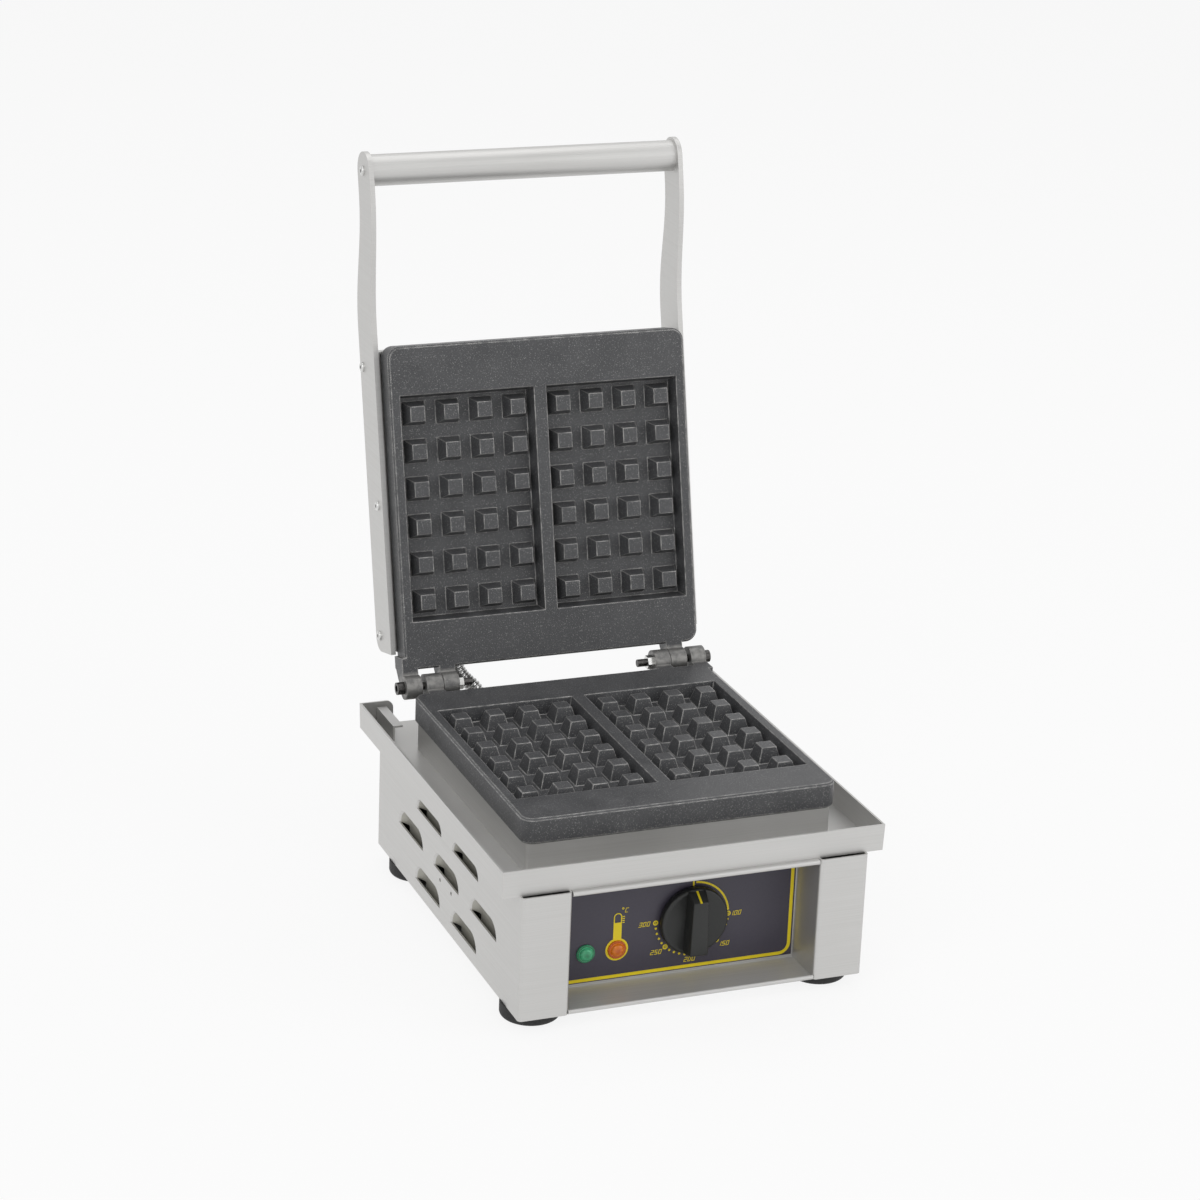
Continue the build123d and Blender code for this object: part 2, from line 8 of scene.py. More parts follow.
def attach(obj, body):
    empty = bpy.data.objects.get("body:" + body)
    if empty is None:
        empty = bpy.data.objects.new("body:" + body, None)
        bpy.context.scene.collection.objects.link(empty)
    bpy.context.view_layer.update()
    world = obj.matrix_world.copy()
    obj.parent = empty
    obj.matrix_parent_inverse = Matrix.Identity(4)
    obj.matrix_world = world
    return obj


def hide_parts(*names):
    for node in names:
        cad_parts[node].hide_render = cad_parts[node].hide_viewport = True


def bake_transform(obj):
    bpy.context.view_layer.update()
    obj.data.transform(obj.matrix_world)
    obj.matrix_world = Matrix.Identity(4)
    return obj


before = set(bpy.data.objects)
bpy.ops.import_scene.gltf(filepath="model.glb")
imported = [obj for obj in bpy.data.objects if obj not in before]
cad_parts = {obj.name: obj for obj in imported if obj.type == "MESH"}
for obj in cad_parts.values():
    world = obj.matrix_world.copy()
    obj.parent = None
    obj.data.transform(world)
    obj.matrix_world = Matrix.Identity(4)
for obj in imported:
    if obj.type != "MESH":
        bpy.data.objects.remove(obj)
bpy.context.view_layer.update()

print("frame loaded")

mm = 0.001  # pieces are drawn in mm, and the scene is in metres
axisY, axisZ = 88.343, 157.5  # the lid's hinge
leanOut, leanUp = 0.2402, 0.9707  # sine and cosine of how far the open lid leans back
filmFace = -176.557  # front of the printed film
printProud = 0.14  # how far the print stands out of the film
printSink = 0.05  # how far it goes into the film
liftStep = 0.015  # keeps printed strips that cross apart in depth
noiseLow, noiseHigh = 0.3, 0.7  # nearly all of a noise texture's values lie between these
grainShare, cloudShare = 0.55, 0.45  # how much of a metal's tone comes from each noise

# Finishes. Colours are linear, and grain is the noise scale along x, y and z.
metalLooks = {
    "brushed_stainless": dict(low=(0.565, 0.56, 0.545), high=(0.645, 0.64, 0.63), rough=(0.38, 0.50),
                              grain=(10, 10, 1900), depth=0.000008, cloud=7.0, metallic=0.82),
    "shelf_stainless": dict(low=(0.60, 0.595, 0.58), high=(0.68, 0.675, 0.665), rough=(0.46, 0.56),
                            grain=(10, 900, 1900), depth=0.000008, cloud=7.0, metallic=0.5),
    "bright_screw": dict(low=(0.55, 0.55, 0.54), high=(0.78, 0.78, 0.77), rough=(0.18, 0.32),
                         grain=(700, 700, 700), depth=0.00002, cloud=60.0),
    "zinc_nut": dict(low=(0.58, 0.58, 0.57), high=(0.82, 0.82, 0.80), rough=(0.14, 0.30),
                     grain=(500, 900, 900), depth=0.00003, cloud=80.0),
    "black_bolt": dict(low=(0.035, 0.034, 0.034), high=(0.16, 0.155, 0.15), rough=(0.26, 0.44),
                       grain=(900, 900, 900), depth=0.00004, cloud=120.0),
    "conduit_steel": dict(low=(0.42, 0.42, 0.42), high=(0.74, 0.74, 0.73), rough=(0.16, 0.30),
                          grain=(600, 600, 600), depth=0.00002, cloud=90.0),
    "heater_sheath": dict(low=(0.20, 0.19, 0.18), high=(0.38, 0.36, 0.34), rough=(0.35, 0.55),
                          grain=(400, 400, 400), depth=0.00003, cloud=40.0),
}
plainLooks = {
    "black_plastic": dict(low=(0.016, 0.016, 0.016), high=(0.030, 0.030, 0.030),
                          rough=(0.45, 0.60), scale=700.0, depth=0.00003),
    "black_knob": dict(low=(0.012, 0.013, 0.012), high=(0.022, 0.023, 0.022),
                       rough=(0.34, 0.44), scale=500.0, depth=0.00001),
    "black_rubber": dict(low=(0.014, 0.014, 0.014), high=(0.026, 0.026, 0.026),
                         rough=(0.60, 0.75), scale=600.0, depth=0.00004),
    "insulation_mat": dict(low=(0.62, 0.60, 0.55), high=(0.80, 0.79, 0.74),
                           rough=(0.85, 0.95), scale=300.0, depth=0.0003),
    "printed_film": dict(low=(0.050, 0.044, 0.064), high=(0.062, 0.056, 0.078),
                         rough=(0.36, 0.46), scale=420.0, depth=0.000006),
    "yellow_paint": dict(low=(0.90, 0.69, 0.010), high=(0.96, 0.76, 0.018),
                         rough=(0.40, 0.50), scale=380.0, depth=0.000004),
}
# The inside of a side wall gets painted shade between near and far along x, and behind front along y: a darker olive
# grey and less metallic, for the dim inside seen through the louvres
insideShadeLook = dict(color=(0.42, 0.41, 0.365), near=0.104, far=0.1371, front=-0.2135, sheen=0.82, metallic=0.3)
# the pale edge colour is partly wear and partly a painted highlight on the rounded rims
castLook = dict(dark=(0.044, 0.045, 0.048), pale=(0.095, 0.096, 0.100), speck=(0.46, 0.46, 0.45),
                speckScale=1250.0, speckFrom=0.63, speckWidth=0.06, speckMost=0.42, rough=(0.34, 0.50),
                cloudScale=45.0, grainScale=700.0, grainDepth=0.00016,
                edgeRadius=0.0014, edgeFrom=0.985, edgeTo=0.92, edgeShineColor=(0.62, 0.61, 0.59),
                wearScale=160.0, wearFrom=0.36, wearTo=0.60, wearLeast=0.25, wearMost=0.9, wearMetal=0.8,
                lugColor=(0.27, 0.265, 0.255), lugReach=0.0125, lugFade=0.002,
                bareScale=220.0, bareFrom=0.3, bareTo=0.6, bareLeast=0.35, bareMetal=0.7)
lensLook = dict(ringRate=2600.0, ringLeast=0.1, cloudScale=500.0, cloudLeast=0.6, rough=0.24, coat=0.15)
lampLooks = {
    "green_lens": dict(middle=(-0.0716, filmFace * mm, 0.0398),
                       bright=(0.10, 0.62, 0.30), dark=(0.008, 0.14, 0.06)),
    "amber_lens": dict(middle=(-0.0465, filmFace * mm, 0.0398),
                       bright=(0.92, 0.25, 0.012), dark=(0.48, 0.075, 0.004)),
}


# Small steps that every finish uses
def startMaterial(name):
    material = bpy.data.materials.new(name)
    material.use_nodes = True
    tree = material.node_tree
    tree.nodes.clear()
    output = tree.nodes.new("ShaderNodeOutputMaterial")
    shader = tree.nodes.new("ShaderNodeBsdfPrincipled")
    tree.links.new(shader.outputs["BSDF"], output.inputs["Surface"])
    place = tree.nodes.new("ShaderNodeTexCoord")
    return material, tree, shader, place.outputs["Object"]


def noise(tree, place, scale, detail=3.0, stretch=(1, 1, 1)):
    mapping = tree.nodes.new("ShaderNodeMapping")
    mapping.inputs["Scale"].default_value = stretch
    tree.links.new(place, mapping.inputs["Vector"])
    node = tree.nodes.new("ShaderNodeTexNoise")
    node.inputs["Scale"].default_value = scale
    node.inputs["Detail"].default_value = detail
    tree.links.new(mapping.outputs["Vector"], node.inputs["Vector"])
    return node.outputs["Fac"]


def spread(tree, value, fromLow, fromHigh, toLow, toHigh):
    node = tree.nodes.new("ShaderNodeMapRange")
    ends = {"From Min": fromLow, "From Max": fromHigh, "To Min": toLow, "To Max": toHigh}
    for socket, number in ends.items():
        node.inputs[socket].default_value = number
    tree.links.new(value, node.inputs["Value"])
    return node.outputs["Result"]


def spreadNoise(tree, value, toLow, toHigh):
    return spread(tree, value, noiseLow, noiseHigh, toLow, toHigh)


def blendColors(tree, amount, first, second):
    node = tree.nodes.new("ShaderNodeMix")
    node.data_type = "RGBA"
    tree.links.new(amount, node.inputs["Factor"])
    for socket, color in ((node.inputs[6], first), (node.inputs[7], second)):
        if isinstance(color, tuple):
            socket.default_value = (*color, 1)
        else:
            tree.links.new(color, socket)
    return node.outputs[2]


def bump(tree, height, depth, under=None):
    node = tree.nodes.new("ShaderNodeBump")
    node.inputs["Distance"].default_value = depth
    tree.links.new(height, node.inputs["Height"])
    if under is not None:
        tree.links.new(under, node.inputs["Normal"])
    return node.outputs["Normal"]


def math2(tree, operation, first, second):
    node = tree.nodes.new("ShaderNodeMath")
    node.operation = operation
    for socket, item in ((node.inputs[0], first), (node.inputs[1], second)):
        if isinstance(item, (int, float)):
            socket.default_value = item
        else:
            tree.links.new(item, socket)
    return node.outputs[0]


def vectorMath(tree, operation, first, second=None):
    node = tree.nodes.new("ShaderNodeVectorMath")
    node.operation = operation
    tree.links.new(first, node.inputs[0])
    if isinstance(second, tuple):
        node.inputs[1].default_value = second
    elif second is not None:
        tree.links.new(second, node.inputs[1])
    return node.outputs["Vector" if operation in ("SUBTRACT", "MULTIPLY") else "Value"]


def metalFinish(name, look):
    material, tree, shader, place = startMaterial(name)
    grain = noise(tree, place, 1.0, 2.0, look["grain"])
    cloud = noise(tree, place, look["cloud"], 4.0)
    tone = math2(tree, "ADD", spreadNoise(tree, grain, 0.0, grainShare), spreadNoise(tree, cloud, 0.0, cloudShare))
    tree.links.new(blendColors(tree, tone, look["low"], look["high"]), shader.inputs["Base Color"])
    tree.links.new(spreadNoise(tree, cloud, *look["rough"]), shader.inputs["Roughness"])
    tree.links.new(bump(tree, grain, look["depth"]), shader.inputs["Normal"])
    shader.inputs["Metallic"].default_value = look.get("metallic", 1.0)
    return material


def insideShaded(material, look):
    # paints shade on the inner faces of a side wall, a darker olive grey and less metallic, because they show through
    # its louvres
    tree = material.node_tree
    shader = next(n for n in tree.nodes if n.type == "BSDF_PRINCIPLED")
    place = next(n for n in tree.nodes if n.type == "TEX_COORD").outputs["Object"]
    parts = tree.nodes.new("ShaderNodeSeparateXYZ")
    tree.links.new(place, parts.inputs["Vector"])
    out = math2(tree, "ABSOLUTE", parts.outputs["X"], 0)
    inside = math2(tree, "MULTIPLY", math2(tree, "LESS_THAN", out, look["far"]),
                   math2(tree, "GREATER_THAN", out, look["near"]))
    inside = math2(tree, "MULTIPLY", inside, math2(tree, "GREATER_THAN", parts.outputs["Y"], look["front"]))
    color = shader.inputs["Base Color"].links[0].from_socket
    # the inner faces take the painted shade colour and a lower metallic
    tree.links.new(blendColors(tree, inside, color, look["color"]), shader.inputs["Base Color"])
    tree.links.new(spread(tree, inside, 0.0, 1.0, look["sheen"], look["metallic"]), shader.inputs["Metallic"])
    return material


def plainFinish(name, look):
    material, tree, shader, place = startMaterial(name)
    grain = noise(tree, place, look["scale"])
    tree.links.new(blendColors(tree, grain, look["low"], look["high"]), shader.inputs["Base Color"])
    tree.links.new(spreadNoise(tree, grain, *look["rough"]), shader.inputs["Roughness"])
    tree.links.new(bump(tree, grain, look["depth"]), shader.inputs["Normal"])
    return material


# Speckled enamel on cast iron: edges are partly worn and carry a painted highlight, and the hinge ears are bare
def castFinish(name, look):
    material, tree, shader, place = startMaterial(name)
    cloud = noise(tree, place, look["cloudScale"], 5.0)
    fine = noise(tree, place, look["grainScale"], 3.0)
    specks = spread(tree, noise(tree, place, look["speckScale"], 1.0), look["speckFrom"],
                    look["speckFrom"] + look["speckWidth"], 0.0, look["speckMost"])
    color = blendColors(tree, cloud, look["dark"], look["pale"])
    color = blendColors(tree, specks, color, look["speck"])
    rounded = tree.nodes.new("ShaderNodeBevel")
    rounded.inputs["Radius"].default_value = look["edgeRadius"]
    flat = tree.nodes.new("ShaderNodeNewGeometry")
    match = vectorMath(tree, "DOT_PRODUCT", rounded.outputs["Normal"], flat.outputs["True Normal"])
    edge = spread(tree, match, look["edgeFrom"], look["edgeTo"], 0.0, 1.0)
    # pale rims where the rounded-edge mask meets rubbed noise: partly wear, partly a painted highlight
    rubbed = spread(tree, noise(tree, place, look["wearScale"], 4.0), look["wearFrom"], look["wearTo"],
                    look["wearLeast"], look["wearMost"])
    wearAndShine = math2(tree, "MULTIPLY", edge, rubbed)
    color = blendColors(tree, wearAndShine, color, look["edgeShineColor"])
    apart = vectorMath(tree, "SUBTRACT", place, (0, axisY * mm, axisZ * mm))
    away = vectorMath(tree, "LENGTH", vectorMath(tree, "MULTIPLY", apart, (0, 1, 1)))
    near = spread(tree, away, look["lugReach"], look["lugReach"] - look["lugFade"], 0.0, 1.0)
    patches = spread(tree, noise(tree, place, look["bareScale"], 5.0), look["bareFrom"], look["bareTo"],
                     look["bareLeast"], 1.0)
    bare = math2(tree, "MULTIPLY", near, patches)
    color = blendColors(tree, bare, color, look["lugColor"])
    tree.links.new(color, shader.inputs["Base Color"])
    metal = math2(tree, "MAXIMUM", math2(tree, "MULTIPLY", bare, look["bareMetal"]),
                  math2(tree, "MULTIPLY", wearAndShine, look["wearMetal"]))
    tree.links.new(metal, shader.inputs["Metallic"])
    tree.links.new(spreadNoise(tree, cloud, *look["rough"]), shader.inputs["Roughness"])
    tree.links.new(bump(tree, fine, look["grainDepth"], rounded.outputs["Normal"]), shader.inputs["Normal"])
    return material


def lampFinish(name, look):
    material, tree, shader, place = startMaterial(name)
    away = vectorMath(tree, "DISTANCE", place, look["middle"])
    rings = math2(tree, "SINE", math2(tree, "MULTIPLY", away, lensLook["ringRate"]), 0)
    tone = spread(tree, rings, -1.0, 1.0, lensLook["ringLeast"], 1.0)
    cloud = spreadNoise(tree, noise(tree, place, lensLook["cloudScale"]), lensLook["cloudLeast"], 1.0)
    tone = math2(tree, "MULTIPLY", tone, cloud)
    tree.links.new(blendColors(tree, tone, look["dark"], look["bright"]), shader.inputs["Base Color"])
    shader.inputs["Roughness"].default_value = lensLook["rough"]
    shader.inputs["Coat Weight"].default_value = lensLook["coat"]
    return material


finishes = {name: metalFinish(name, look) for name, look in metalLooks.items()}
finishes.update({name: plainFinish(name, look) for name, look in plainLooks.items()})
finishes.update({name: lampFinish(name, look) for name, look in lampLooks.items()})
finishes["black_casting"] = castFinish("black_casting", castLook)
# side walls: brushed steel outside, painted shade on the inner faces
finishes["side_sheet"] = insideShaded(metalFinish("side_sheet", metalLooks["brushed_stainless"]), insideShadeLook)
print("finishes made:", len(finishes))

nodeFinish = {
    "side_sheet": ["side_wall_left", "side_wall_right"],
    "shelf_stainless": ["bottom_plate"],
    "brushed_stainless": ["rear_panel", "drip_tray", "plinth", "lid_cover", "handle_arm_left", "handle_arm_right",
                          "handle_tube", "heat_shield", "fascia_panel", "corner_strips"],
    "black_casting": ["lower_plate", "upper_plate"],
    "black_plastic": ["cable_gland", "handle_plugs", "lamp_bodies", "thermostat", "terminal_block"],
    "black_bolt": ["hinge_bolts"],
    "zinc_nut": ["hinge_nuts", "lid_bush", "base_bush"],
    "heater_sheath": ["lower_heater", "upper_heater", "thermostat_bulb"],
    "insulation_mat": ["lower_insulation", "upper_insulation"],
    "bright_screw": ["arm_screws", "handle_screws", "arm_washers", "knob_shaft", "foot_screws"],
    "printed_film": ["fascia_film"],
    "green_lens": ["green_lamp"],
    "amber_lens": ["amber_lamp"],
    "black_knob": ["knob"],
    "yellow_paint": ["knob_pointer"],
    "black_rubber": ["feet"],
    "conduit_steel": ["flexible_conduit"],
}
for slotName, nodeNames in nodeFinish.items():
    for nodeName in nodeNames:
        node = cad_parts[nodeName]
        if not node.material_slots:
            node.data.materials.append(finishes[slotName])
        for materialSlot in node.material_slots:
            materialSlot.material = finishes[slotName]


# Meshes: points are in mm, and each piece is closed with its faces outward
boxFaces = [(0, 1, 3, 2), (4, 6, 7, 5), (0, 4, 5, 1), (2, 3, 7, 6), (0, 2, 6, 4), (1, 5, 7, 3)]


def newPiece(name, points, faces, slotName, smooth=False):
    mesh = bpy.data.meshes.new(name)
    mesh.from_pydata([Vector(p) * mm for p in points], [], faces)
    shape = bmesh.new()
    shape.from_mesh(mesh)
    bmesh.ops.recalc_face_normals(shape, faces=shape.faces)
    shape.to_mesh(mesh)
    shape.free()
    for face in mesh.polygons:
        face.use_smooth = smooth
    mesh.materials.append(finishes[slotName])
    piece = bpy.data.objects.new(name, mesh)
    bpy.context.scene.collection.objects.link(piece)
    return piece


def joined(parts):
    points, faces = [], []
    for partPoints, partFaces in parts:
        start = len(points)
        points += partPoints
        faces += [tuple(start + i for i in face) for face in partFaces]
    return points, faces


def plate(outline, low=filmFace - printProud, high=filmFace + printSink):
    # a flat outline in x and z, made thick along y
    count = len(outline)
    points = [(x, low, z) for x, z in outline] + [(x, high, z) for x, z in outline]
    sides = [(i, (i + 1) % count, (i + 1) % count + count, i + count) for i in range(count)]
    return points, [tuple(range(count)), tuple(range(2 * count - 1, count - 1, -1))] + sides


def ribbon(line, width, closed=False, lift=0.0):
    # a strip of constant width along a line in x and z, made thick along y; strips that cross differ in lift
    left, right = [], []
    count = len(line)
    for i, (x, z) in enumerate(line):
        before = line[i - 1] if i or closed else line[i]
        after = line[(i + 1) % count] if i < count - 1 or closed else line[i]
        way = Vector((after[0] - before[0], after[1] - before[1])).normalized()
        left.append((x - way.y * width / 2, z + way.x * width / 2))
        right.append((x + way.y * width / 2, z - way.x * width / 2))
    low, high = filmFace - printProud - lift, filmFace + printSink
    points = []
    for i in range(count):
        points += [(left[i][0], low, left[i][1]), (right[i][0], low, right[i][1]),
                   (right[i][0], high, right[i][1]), (left[i][0], high, left[i][1])]
    faces = []
    for i in range(count if closed else count - 1):
        a, b = 4 * i, 4 * ((i + 1) % count)
        faces += [(a + k, a + (k + 1) % 4, b + (k + 1) % 4, b + k) for k in range(4)]
    if not closed:
        faces += [(0, 1, 2, 3), (4 * count - 4, 4 * count - 3, 4 * count - 2, 4 * count - 1)]
    return points, faces


def arc(middle, radius, fromAngle, toAngle, steps):
    # angles run clockwise from straight up
    line = []
    for i in range(steps + 1):
        angle = math.radians(fromAngle + (toAngle - fromAngle) * i / steps)
        line.append((middle[0] + radius * math.sin(angle), middle[1] + radius * math.cos(angle)))
    return line


def circle(middle, radius, count):
    return arc(middle, radius, 0, 360 - 360 / count, count - 1)


def block(low, high):
    xs, ys, zs = zip(low, high)
    return [(x, y, z) for x in xs for y in ys for z in zs], boxFaces


def lathe(profile, middle, steps=64):
    # turns (radius, depth) pairs about an axis that runs out of the front panel, from the back to the tip
    points, faces = [(middle[0], middle[1] - profile[0][1], middle[2])], []
    for radius, depth in profile:
        for i in range(steps):
            angle = 2 * math.pi * i / steps
            points.append((middle[0] + radius * math.cos(angle), middle[1] - depth,
                           middle[2] + radius * math.sin(angle)))
    points.append((middle[0], middle[1] - profile[-1][1], middle[2]))
    last = len(points) - 1
    for i in range(steps):
        k = (i + 1) % steps
        faces.append((0, 1 + k, 1 + i))
        faces.append((last, last - steps + i, last - steps + k))
        for ring in range(len(profile) - 1):
            a, b = 1 + ring * steps, 1 + (ring + 1) * steps
            faces.append((a + i, a + k, b + k, b + i))
    return points, faces


def lidPoint(x, reach, rise):
    # a point of the open lid, from its distance from the hinge and its height above the parting plane
    return (x, axisY + leanOut * reach + leanUp * rise, axisZ + leanUp * reach - leanOut * rise)


def rest(piece, body, slotName, *stoodFor):
    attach(piece, body)
    if stoodFor:
        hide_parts(*stoodFor)


# One node group repeats a small piece, along a line that it follows or at points
def repeatGroup(name, follow):
    group = bpy.data.node_groups.new(name, "GeometryNodeTree")
    sockets = {"Path": "NodeSocketGeometry", "Piece": "NodeSocketObject", "Count": "NodeSocketInt",
               "Size spread": "NodeSocketFloat", "Seed": "NodeSocketInt", "Finish": "NodeSocketMaterial"}
    for label, kind in sockets.items():
        group.interface.new_socket(label, in_out="INPUT", socket_type=kind)
    group.interface.new_socket("Result", in_out="OUTPUT", socket_type="NodeSocketGeometry")
    make = group.nodes.new
    link = group.links.new
    entry, leave = make("NodeGroupInput"), make("NodeGroupOutput")
    info = make("GeometryNodeObjectInfo")
    link(entry.outputs["Piece"], info.inputs["Object"])
    copy = make("GeometryNodeInstanceOnPoints")
    link(info.outputs["Geometry"], copy.inputs["Instance"])
    if follow:
        curve = make("GeometryNodeMeshToCurve")
        spots = make("GeometryNodeCurveToPoints")
        link(entry.outputs["Path"], curve.inputs["Mesh"])
        link(curve.outputs["Curve"], spots.inputs["Curve"])
        link(entry.outputs["Count"], spots.inputs["Count"])
        link(spots.outputs["Rotation"], copy.inputs["Rotation"])
    else:
        spots = make("GeometryNodeMeshToPoints")
        link(entry.outputs["Path"], spots.inputs["Mesh"])
    link(spots.outputs["Points"], copy.inputs["Points"])
    size = make("FunctionNodeRandomValue")
    low, high = make("ShaderNodeMath"), make("ShaderNodeMath")
    low.operation, high.operation = "SUBTRACT", "ADD"
    for step in (low, high):
        step.inputs[0].default_value = 1.0
        link(entry.outputs["Size spread"], step.inputs[1])
    link(low.outputs[0], size.inputs[2])
    link(high.outputs[0], size.inputs[3])
    link(entry.outputs["Seed"], size.inputs["Seed"])
    link(size.outputs[1], copy.inputs["Scale"])
    real, paint = make("GeometryNodeRealizeInstances"), make("GeometryNodeSetMaterial")
    link(copy.outputs["Instances"], real.inputs["Geometry"])
    link(real.outputs["Geometry"], paint.inputs["Geometry"])
    link(entry.outputs["Finish"], paint.inputs["Material"])
    link(paint.outputs["Geometry"], leave.inputs["Result"])
    return group


repeatAlong = repeatGroup("repeatAlong", True)
repeatAt = repeatGroup("repeatAt", False)


def repeated(name, group, lines, small, slotName, spreadOf=0.0, seed=1, count=2):
    # lines are point lists in mm; small is the piece to repeat, which is removed afterwards
    mesh = bpy.data.meshes.new(name)
    points, edges = [], []
    for line in lines:
        if group is repeatAlong:
            edges += [(len(points) + i, len(points) + i + 1) for i in range(len(line) - 1)]
        points += [Vector(p) * mm for p in line]
    mesh.from_pydata(points, edges, [])
    carrier = bpy.data.objects.new(name + "Path", mesh)
    bpy.context.scene.collection.objects.link(carrier)
    step = carrier.modifiers.new("repeat", "NODES")
    values = {"Piece": small, "Count": count, "Size spread": spreadOf, "Seed": seed,
              "Finish": finishes[slotName]}
    step.node_group = group
    for item in group.interface.items_tree:
        if item.in_out == "INPUT" and item.name in values:
            step[item.identifier] = values[item.name]
    bpy.context.view_layer.update()
    graph = bpy.context.evaluated_depsgraph_get()
    made = bpy.data.meshes.new_from_object(carrier.evaluated_get(graph))
    carrier.modifiers.clear()
    bpy.data.objects.remove(carrier)
    bpy.data.objects.remove(small)
    made.name = name
    piece = bpy.data.objects.new(name, made)
    bpy.context.scene.collection.objects.link(piece)
    return piece


# Printed dial, numbers, border and thermometer sign
dial = dict(middle=(13.8, 57.2), ring=29.6, arcFrom=4, arcTo=84, arcWidth=1.5, arcSteps=40,
            tickFrom=83.9, tickTo=89.0, tickWidth=1.3, bigDot=2.1, bigLine=0.76, bigWidth=0.48, bigCore=0.3,
            bigAngles=(90, 135, 180, 225, 270), smallDot=0.95, smallStep=9)
numbers = dict(height=3.3, width=1.9, pitch=3.2, stroke=0.42, slant=0.28,
               places={"100": (49.6, 56.9), "150": (41.0, 32.6), "200": (13.4, 23.4), "250": (-14.4, 32.9),
                       "300": (-24.8, 57.2)})
border = dict(left=-97.6, right=95.4, low=17.7, top=109.6, width=2.6, corner=8.0, steps=12)
sign = dict(middle=(-46.5, 39.8), bulbIn=7.4, bulbOut=9.1, stemHalf=3.3, fullTop=61.7, domeAt=66.3, outline=0.8,
            ticks=(61.4, 63.0, 64.6, 66.2), tickLength=1.9, tickGap=0.3, tickWidth=0.6,
            degree=(-42.6, 73.0), degreeRadius=0.65, degreeWidth=0.5, letter=(-41.0, 69.6))

segmentLines = {"a": ((0, 1), (1, 1)), "b": ((1, 1), (1, 0.5)), "c": ((1, 0.5), (1, 0)), "d": ((1, 0), (0, 0)),
                "e": ((0, 0), (0, 0.5)), "f": ((0, 0.5), (0, 1)), "g": ((0, 0.5), (1, 0.5))}
digitSegments = {"0": "abcdef", "1": "bc", "2": "abged", "3": "abgcd", "5": "afgcd", "C": "afed"}


def glyph(letter, x, z, size):
    parts = []
    for index, segment in enumerate(digitSegments[letter]):
        (x0, z0), (x1, z1) = segmentLines[segment]
        line = []
        for px, pz in ((x0, z0), (x1, z1)):
            over = size["stroke"] / 2
            shift, rise = 0, 0
            if x0 != x1:
                shift = over if px > min(x0, x1) else -over
            else:
                rise = over if pz == max(z0, z1) else -over
            height = pz * size["height"] + rise
            line.append((x + px * size["width"] + shift + size["slant"] * height, z + height))
        parts.append(ribbon(line, size["stroke"], lift=liftStep * index))
    return parts


dialArc = arc(dial["middle"], dial["ring"], dial["arcFrom"], dial["arcTo"], dial["arcSteps"])
dialTick = [(dial["middle"][0], dial["tickFrom"]), (dial["middle"][0], dial["tickTo"])]
parts = [ribbon(dialArc, dial["arcWidth"]), ribbon(dialTick, dial["tickWidth"])]
for text, (x, z) in numbers["places"].items():
    startX = x - numbers["pitch"] - numbers["width"] / 2 - numbers["slant"] * numbers["height"] / 2
    for index, letter in enumerate(text):
        parts += glyph(letter, startX + index * numbers["pitch"], z - numbers["height"] / 2, numbers)
rest(newPiece("dialPrint", *joined(parts), "yellow_paint"), "base", "yellow_paint")


def dialSpot(angle):
    x, z = arc(dial["middle"], dial["ring"], angle, angle, 1)[0]
    return (x, filmFace, z)


# Ring dots at each fifty degrees, and four small dots between
bigSpots = [dialSpot(angle) for angle in dial["bigAngles"]]
smallSpots = [dialSpot(angle) for angle in range(dial["bigAngles"][0], dial["bigAngles"][-1], dial["smallStep"])
              if angle not in dial["bigAngles"]]
ringDot = joined([ribbon(circle((0, 0), dial["bigDot"] * dial["bigLine"], 24), dial["bigDot"] * dial["bigWidth"], True),
                  plate(circle((0, 0), dial["bigDot"] * dial["bigCore"], 20))])
ringDot = newPiece("ringDot", [(x, y - filmFace, z) for x, y, z in ringDot[0]], ringDot[1], "yellow_paint")
rest(repeated("dialRings", repeatAt, [bigSpots], ringDot, "yellow_paint"), "base", "yellow_paint")
smallDot = newPiece("smallDot", *plate(circle((0, 0), dial["smallDot"], 20), -printProud, printSink), "yellow_paint")
rest(repeated("dialDots", repeatAt, [smallSpots], smallDot, "yellow_paint", spreadOf=0.03, seed=4),
     "base", "yellow_paint")

corner = (border["right"] - border["corner"], border["low"] + border["corner"])
borderLine = [(border["left"], border["low"]), *arc(corner, border["corner"], 180, 90, border["steps"]),
              (border["right"], border["top"])]
rest(newPiece("borderLine", *ribbon(borderLine, border["width"]), "yellow_paint"), "base", "yellow_paint")

signX, signZ = sign["middle"]
half, thin = sign["stemHalf"], sign["outline"]
stemFoot = signZ + math.sqrt(sign["bulbIn"] ** 2 - half ** 2)
bulbLine = circle(sign["middle"], (sign["bulbIn"] + sign["bulbOut"]) / 2, 60)
stem = [(signX - half, stemFoot), (signX + half, stemFoot), (signX + half, sign["fullTop"]),
        (signX - half, sign["fullTop"])]
parts = [ribbon(bulbLine, sign["bulbOut"] - sign["bulbIn"], True, 2 * liftStep), plate(stem)]
domeLine = [(signX - half + thin / 2, sign["fullTop"]), *arc((signX, sign["domeAt"]), half - thin / 2, -90, 90, 14),
            (signX + half - thin / 2, sign["fullTop"])]
parts.append(ribbon(domeLine, thin, lift=2 * liftStep))
tickFrom = signX + half + sign["tickGap"]
for z in sign["ticks"]:
    parts.append(ribbon([(tickFrom, z), (tickFrom + sign["tickLength"], z)], sign["tickWidth"]))
parts.append(ribbon(circle(sign["degree"], sign["degreeRadius"], 12), sign["degreeWidth"], True))
parts += glyph("C", *sign["letter"], numbers)
rest(newPiece("thermometerSign", *joined(parts), "yellow_paint"), "base", "yellow_paint")
print("print made")

